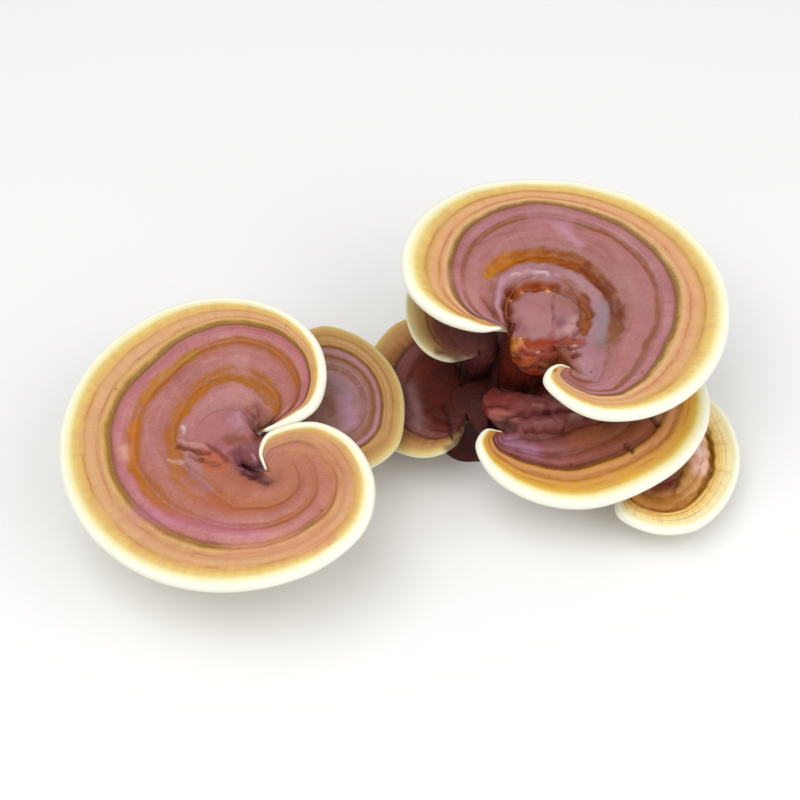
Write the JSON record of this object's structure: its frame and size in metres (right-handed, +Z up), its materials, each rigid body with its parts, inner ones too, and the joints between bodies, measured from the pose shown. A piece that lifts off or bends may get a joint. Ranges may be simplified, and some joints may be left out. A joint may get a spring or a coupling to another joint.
{
  "type": "reishi mushroom clump",
  "caption": "Clump of kidney-shaped bracket mushroom caps with ringed, lacquered tops and pale rounded margins, on short dark stems that rise from one foot cut flat below.",
  "frame": {"origin": "on the flat cut under the foot, below the stems of the right-hand caps", "axes": "+Z up from the cut; +X towards the small cap at the right, along the row of caps; -Y towards the side the picture was taken from"},
  "size_m": [0.2428, 0.1443, 0.0821],
  "materials": {
    "cap_skin": "satin lacquered crust in mauve and orange-brown rings, tan to cream at the lip, matt cream pores below",
    "stem_skin": "dark red-brown lacquered crust, mauve-brown on the knobs",
    "foot_cork": "dark crust with a matt corky cut face"
  },
  "bodies": {
    "root": {"cap_left_large": "cap_skin", "cap_left_back": "cap_skin", "cap_middle": "cap_skin", "cap_upper_small": "cap_skin", "cap_top_large": "cap_skin", "cap_lower_right": "cap_skin", "cap_small_right": "cap_skin", "stem_left_large": "stem_skin", "stem_left_back": "stem_skin", "stem_middle": "stem_skin", "stem_upper_small": "stem_skin", "stem_top_large": "stem_skin", "stem_lower_right": "stem_skin", "stem_small_right": "stem_skin", "foot": "foot_cork"}
  },
  "joints": []
}
